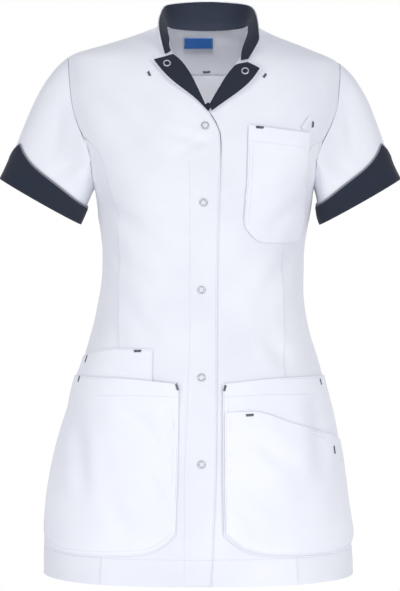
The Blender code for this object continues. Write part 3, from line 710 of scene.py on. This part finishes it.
sew("stitches_chest_pocket", along_rim("chest_pocket", 1.8, below(597))
    + along_rim("chest_pocket", 6.5, below(590)) + by_table([(62, 588), (90, 585.5), (136, 580)]))
MOUTH_LINES = {"right": [(-140, 250), (-90, 252), (-32, 251)], "left": [(31, 251), (90, 253), (145, 251)]}
for hand, line in MOUTH_LINES.items():
    name = "hip_pocket_" + hand
    sew("stitches_" + name, along_rim(name, 1.8) + along_rim(name, 6.5, below(262)) + by_table(line))
sew("stitches_slant_pocket_left", along_rim("slant_pocket_left", 1.8)
    + along_rim("slant_pocket_left", 7.0, above(150)))
sew("stitches_upper_pocket_right", along_rim("upper_pocket_right", 1.8, above(270)))
sew("stitches_front_edge", along_rim("front_right", 1.8, lambda p: p.x > -0.02 and p.z < -0.10)
    + by_table([(-16, 560), (-16, 330), (-19, 250), (-23.5, 150), (-23.5, 6)]))
for hand in ("right", "left"):
    sew("stitches_side_front_" + hand, along_rim("side_front_" + hand, 1.8, above(8)))
    sew("stitches_cuff_" + hand,
        along_rim("cuff_" + hand, 2.0, out=lambda p: arm_place(hand, p)[2].normalized()), NAVY_THREAD)
sew("stitches_back", along_rim("back", 2.0, above(8)))
sew("stitches_back_yoke", along_rim("back_yoke", 2.0, below(720)))
sew("stitches_collar", along_rim("collar_outer", 1.6))
HEM_HEIGHT = 0.036
hem = []
for turn in range(361):
    way = Vector((sin(radians(turn)), -cos(radians(turn)), 0))
    point, normal = BODY.ray_cast(way * 0.5 + Vector((0, 0, HEM_HEIGHT - NECK)), -way)[:2]
    if point is not None:
        hem.append((point, normal))
sew("stitches_hem", [hem])

# %% [markdown]
# Bar tacks hold the corners that take strain: dense navy bars 11 mm long, sewn to and fro. Each
# row gives the middle of one as the photo shows it and its slope in degrees.

# %% Bar tacks
TACKS = [
    # x, height, slope, length
    (-69.7, 676.4, -62, 8), (83.2, 675.0, 52, 8), (76.3, 606.0, -4, 11), (147.0, 611.0, 80, 9),
    (-32.8, 263.6, -72, 10), (-85.0, 310.5, 2, 11), (-156.4, 296.0, 82, 11), (-166.0, 269.3, 80, 9),
    (30.3, 263.0, 74, 9), (63.6, 227.0, 3, 11), (178.5, 173.0, -86, 11), (160.5, 264.0, -84, 9),
]


def bar_tack(point, normal, slope, length):
    """Runs that zigzag across a bar, then two straight ones along it."""
    side = Vector((0, 0, 1)).cross(normal).normalized()
    up = normal.cross(side)
    along = side * cos(radians(slope)) + up * sin(radians(slope))
    across = along.cross(normal)
    count = int(length / 0.55)
    zigzag = [point + along * (k * 0.55 - length / 2) * MM + across * (0.8 if k % 2 else -0.8) * MM
              for k in range(count)]
    return [[(p, normal), (q, normal)] for p, q in zip(zigzag, zigzag[1:])]


tacks = []
for x, height, slope, length in TACKS:
    point, normal = drop(x, height)
    if point is None:
        print("no cloth under the tack at", x, height)
        continue
    tacks += bar_tack(point, normal, slope, length)
INSIDE = surface("back", "back_yoke")
point, normal = drop(7, 687, INSIDE, start=0.0)
tacks += bar_tack(point, normal if normal.y < 0 else -normal, 4, 11)
sew("bar_tacks", tacks, NAVY_THREAD, length=1.9, pitch=9, radius=0.36, lift=0.25)

# %% [markdown]
# The ring snaps are turned on a lathe: half a section is spun about its axis, then laid on the
# cloth where the CAD ring is. The hole shows the cloth of the front.

# %% Ring snaps
RING = [(3.3, 0.0), (3.3, 0.9), (3.6, 1.35), (4.1, 1.6), (4.7, 1.55), (5.2, 1.25), (5.5, 0.7), (5.5, 0.0)]


def ring_snap(node_name, tree):
    low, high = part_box(node_name)
    middle = (low + high) / 2
    point, normal = tree.ray_cast(Vector((middle.x, IN_FRONT, middle.z)), BACKWARD)[:2]
    work = bmesh.new()
    section = [work.verts.new((r * MM, 0, z * MM)) for r, z in RING]
    edges = [work.edges.new(pair) for pair in zip(section, section[1:])]
    bmesh.ops.spin(work, geom=section + edges, cent=(0, 0, 0), axis=(0, 0, 1), angle=2 * pi, steps=40,
                   use_merge=True)
    bmesh.ops.remove_doubles(work, verts=work.verts[:], dist=0.000005)
    bmesh.ops.recalc_face_normals(work, faces=work.faces[:])
    turn = normal.to_track_quat("Z", "Y").to_matrix().to_4x4()
    work.transform(Matrix.Translation(point + normal * 0.1 * MM) @ turn)
    mesh = bpy.data.meshes.new(node_name + "_ring")
    work.to_mesh(mesh)
    work.free()
    for face in mesh.polygons:
        face.use_smooth = True
    mesh.materials.append(NICKEL)
    ring = bpy.data.objects.new(node_name + "_ring", mesh)
    bpy.context.scene.collection.objects.link(ring)
    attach(ring, "root")
    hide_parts(node_name)


for number in range(1, 6):
    ring_snap("snap_%d" % number, FRONTS)
for hand in ("right", "left"):
    ring_snap("revers_snap_" + hand, LAPELS)
print("rings: 7")

# %% [markdown]
# Three small things finish the neck. The navy facing closes the point of the V. A fine dark line of
# navy thread runs down the front edge below the lapels: near the V it is the facing's folded edge,
# and below about 620 mm it is painted shadow along the edge. The label is caught down with a few
# stitches at each end.

# %% The facing's point, its edge with painted shadow below it, and the label's stitches
POINT = [(13.2, 635), (8, 639), (3.2, 635.5), (8, 627.5)]    # x and height of its four corners
POINT_LIFT = 1.4 * MM    # its middle lies this far in front of the cloth
POINT_WALL = 1.0 * MM


def facing_point(name):
    """A small navy piece that lies on the cloth at the point of the V."""
    neck = surface("collar_inner", "revers_facing_right")
    corners = []
    for x, height in POINT:
        near = neck.find_nearest(Vector((x * MM, -0.05, height * MM - NECK)))[0]
        corners.append(Vector((x * MM, near.y - 1.6 * MM, height * MM - NECK)))
    a, b, c, d = corners
    work = bmesh.new()
    bmesh.ops.create_grid(work, x_segments=6, y_segments=6, size=1)
    under = surface("front_right", "revers_right", "revers_facing_right", "collar_outer", "collar_inner")
    for vert in work.verts:
        s, t = (vert.co.x + 1) / 2, (vert.co.y + 1) / 2
        vert.co = (a * (1 - s) + b * s) * (1 - t) + (d * (1 - s) + c * s) * t
        # every point lies just in front of the cloth behind it, or else of the nearest cloth
        hit = under.ray_cast(Vector((vert.co.x, IN_FRONT, vert.co.z)), BACKWARD)[0]
        if hit is None or hit.y > -0.03:
            hit = under.find_nearest(vert.co)[0]
        vert.co.y = hit.y - POINT_LIFT
    bmesh.ops.smooth_vert(work, verts=work.verts[:], factor=0.3, use_axis_y=True)
    bmesh.ops.solidify(work, geom=work.faces[:], thickness=POINT_WALL)
    bmesh.ops.recalc_face_normals(work, faces=work.faces[:])
    mesh = bpy.data.meshes.new(name)
    work.to_mesh(mesh)
    work.free()
    piece = bpy.data.objects.new(name, mesh)
    bpy.context.scene.collection.objects.link(piece)
    map_cloth(piece, round_body)
    mesh.materials.append(NAVY_TWILL)
    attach(piece, "root")
    return piece


cloth["facing_corner_point"] = facing_point("facing_corner_point")
# navy thread down the front edge: the facing's folded edge near the V, painted shadow along the edge below
# about 620 mm
FACING_EDGE_AND_SHADOW_LINE = [(8.6, 627), (12.6, 621.7), (18.4, 612), (23.6, 599), (24.9, 585), (24.7, 573), (24.0, 556),
        (23.2, 540)]
sew("facing_edge_and_painted_shadow", by_table(FACING_EDGE_AND_SHADOW_LINE, surface("front_left")), NAVY_THREAD, length=3.4, radius=0.34, lift=0.5)
TAG = surface("neck_label")
TAG_ENDS = by_table([(-23.6, 721.5), (-23.6, 733.5)], TAG, start=0.0)
TAG_ENDS += by_table([(14.2, 721.5), (14.2, 733.5)], TAG, start=0.0)
sew("label_stitches", TAG_ENDS, WHITE_THREAD, length=1.6, pitch=2.2, radius=0.2)

# %% [markdown]
# Every cloth piece is listed with its flat size, width by length in metres. A tube such as a sleeve
# is measured all round. These sizes were fitted to the finished pieces' own surface, so they agree
# with the meshes by design and don't prove that the real cut was the same. They are what shows on
# the garment; estimates for seam allowances, hems and hidden facings are in the report.

# %% The cut
CUTS = {
    # name: width, length and, where the cut isn't a rectangle, its flat area
    "front_right": (0.172, 0.745, 0.113),
    "front_left": (0.164, 0.745, 0.107),
    "side_front_right": (0.140, 0.600, 0.061),
    "side_front_left": (0.140, 0.600, 0.061),
    "back": (0.235, 0.690, 0.104),
    "side_back_right": (0.185, 0.690, 0.096),
    "side_back_left": (0.185, 0.690, 0.096),
    "back_yoke": (0.390, 0.115, 0.033),
    "sleeve_right": (0.380, 0.190, 0.042),
    "sleeve_left": (0.380, 0.190, 0.038),
    "cuff_right": (0.350, 0.055, 0.0125),
    "cuff_left": (0.350, 0.055, 0.0125),
    "cuff_piping_right": (0.350, 0.010, 0.0014),
    "cuff_piping_left": (0.350, 0.010, 0.0014),
    "collar_outer": (0.300, 0.034, None),
    "collar_inner": (0.290, 0.033, None),
    "revers_right": (0.042, 0.098, 0.0020),
    "revers_left": (0.042, 0.098, 0.0021),
    "revers_facing_right": (0.040, 0.096, 0.0018),
    "revers_facing_left": (0.040, 0.096, 0.0019),
    "chest_pocket": (0.090, 0.156, None),
    "pen_tab": (0.016, 0.010, None),
    "hip_pocket_right": (0.215, 0.235, None),
    "upper_pocket_right": (0.135, 0.052, None),
    "hip_pocket_left": (0.215, 0.235, None),
    "slant_pocket_left": (0.205, 0.196, 0.036),
    "neck_label": (0.043, 0.015, None),
    "facing_corner_point": (0.010, 0.010, 0.00008),
}
for name, (width, length, area) in CUTS.items():
    half = sum(face.area for face in cloth[name].data.polygons) / 2
    print(name, "half surface", round(half, 4), "flat", round(area or width * length, 4),
          "ratio", round(half / (area or width * length), 2))

# %% [markdown]
# The photo is a shop photo: pure white behind, and soft light from the front and both sides. The
# world is white to the camera and gentler to the cloth, so that the folds still read. A pale disc
# well below the hem stands for the studio floor.

# %% Stage and light
def white_world(seen, lighting):
    world = bpy.data.worlds.new("white studio")
    world.use_nodes = True
    tree = world.node_tree
    tree.nodes.clear()
    path = add_node(tree, "ShaderNodeLightPath")
    plain = add_node(tree, "ShaderNodeBackground", inputs={"Color": (1, 1, 1, 1), "Strength": seen})
    soft = add_node(tree, "ShaderNodeBackground", inputs={"Color": (0.93, 0.95, 1, 1), "Strength": lighting})
    both = add_node(tree, "ShaderNodeMixShader", links={0: path.outputs["Is Camera Ray"],
                                                        1: soft.outputs[0], 2: plain.outputs[0]})
    add_node(tree, "ShaderNodeOutputWorld", links={"Surface": both.outputs[0]})
    bpy.context.scene.world = world


def softbox(name, place, aim, size, watts):
    light = bpy.data.lights.new(name, "AREA")
    light.shape = "RECTANGLE"
    light.size, light.size_y = size
    light.energy = watts
    lamp = bpy.data.objects.new(name, light)
    lamp.location = place
    lamp.rotation_euler = (Vector(aim) - Vector(place)).to_track_quat("-Z", "Y").to_euler()
    bpy.context.scene.collection.objects.link(lamp)


white_world(1.0, 0.56)
softbox("key, viewer's right", (1.7, -2.4, 0.3), (0, 0, -0.35), (1.0, 1.4), 19)
softbox("fill, viewer's left", (-1.9, -2.2, 0.0), (0, 0, -0.4), (1.2, 1.6), 15)
softbox("front, above the camera", (0.1, -3.6, 0.5), (0, 0, -0.5), (1.2, 0.8), 5)
softbox("top", (0, -0.6, 2.2), (0, 0, -0.3), (1.6, 1.2), 2)
softbox("behind, left", (-1.6, 2.4, 0.4), (0, 0, -0.35), (1.2, 1.6), 16)
softbox("behind, right", (1.6, 2.4, 0.2), (0, 0, -0.35), (1.2, 1.6), 18)
softbox("low front", (0, -2.0, -1.1), (0, 0, -0.55), (1.6, 0.5), 7)
neck_lamp = bpy.data.lights.new("into the neck", "SPOT")
neck_lamp.energy = 3.6
neck_lamp.spot_size = radians(32)
neck_lamp.spot_blend = 0.8
neck_lamp.shadow_soft_size = 0.03
NECK_INSIDE = Vector((0.003, 0.08, -0.065))
inside = bpy.data.objects.new("into the neck", neck_lamp)
inside.location = (0.003, -0.16, 0.20)
inside.rotation_euler = (NECK_INSIDE - inside.location).to_track_quat("-Z", "Y").to_euler()
bpy.context.scene.collection.objects.link(inside)

FLOOR_HEIGHT = -1.25
disc = bmesh.new()
bmesh.ops.create_circle(disc, cap_ends=True, radius=1.2, segments=96)
bmesh.ops.translate(disc, verts=disc.verts[:], vec=(0, 0, FLOOR_HEIGHT))
disc_mesh = bpy.data.meshes.new("studio_floor")
disc.to_mesh(disc_mesh)
disc.free()
floor = bpy.data.objects.new("studio_floor", disc_mesh)
bpy.context.scene.collection.objects.link(floor)
floor_look, floor_tree, floor_shader = new_material("studio floor, matt white", "#f4f5f8", 0.9)
floor_grain = add_node(floor_tree, "ShaderNodeTexNoise", inputs={"Scale": 40.0},
                            links={"Vector": add_node(floor_tree, "ShaderNodeTexCoord").outputs["Object"]})
floor_bump = add_node(floor_tree, "ShaderNodeBump", inputs={"Strength": 0.02},
                      links={"Height": floor_grain.outputs["Fac"]})
floor_tree.links.new(floor_bump.outputs["Normal"], floor_shader.inputs["Normal"])
disc_mesh.materials.append(floor_look)
floor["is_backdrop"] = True

bpy.context.scene.view_settings.view_transform = "Standard"
bpy.context.scene.view_settings.look = "None"

# %% [markdown]
# The camera stands where the photographer's is taken to have stood: a little above the middle of the
# garment, with a long lens. Its distance is assumed, because the photo doesn't give it.

# %% Camera
AIM = Vector((-0.0027, 0, -0.365))
TILT = radians(3.06)
AWAY = 3.2
lens = bpy.data.cameras.new("photo camera")
lens.lens = 142.8
lens.sensor_fit = "VERTICAL"
lens.sensor_height = 36
camera = bpy.data.objects.new("photo camera", lens)
camera.location = AIM + Vector((0, -cos(TILT), sin(TILT))) * AWAY
camera.rotation_euler = (AIM - camera.location).to_track_quat("-Z", "Y").to_euler()
bpy.context.scene.collection.objects.link(camera)
bpy.context.scene.camera = camera

# %% [markdown]
# Last, the size of the dressed part is printed.

# %% Size note and finish
low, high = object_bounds()
print("visual box", [round(v, 4) for v in (*low, *high)])
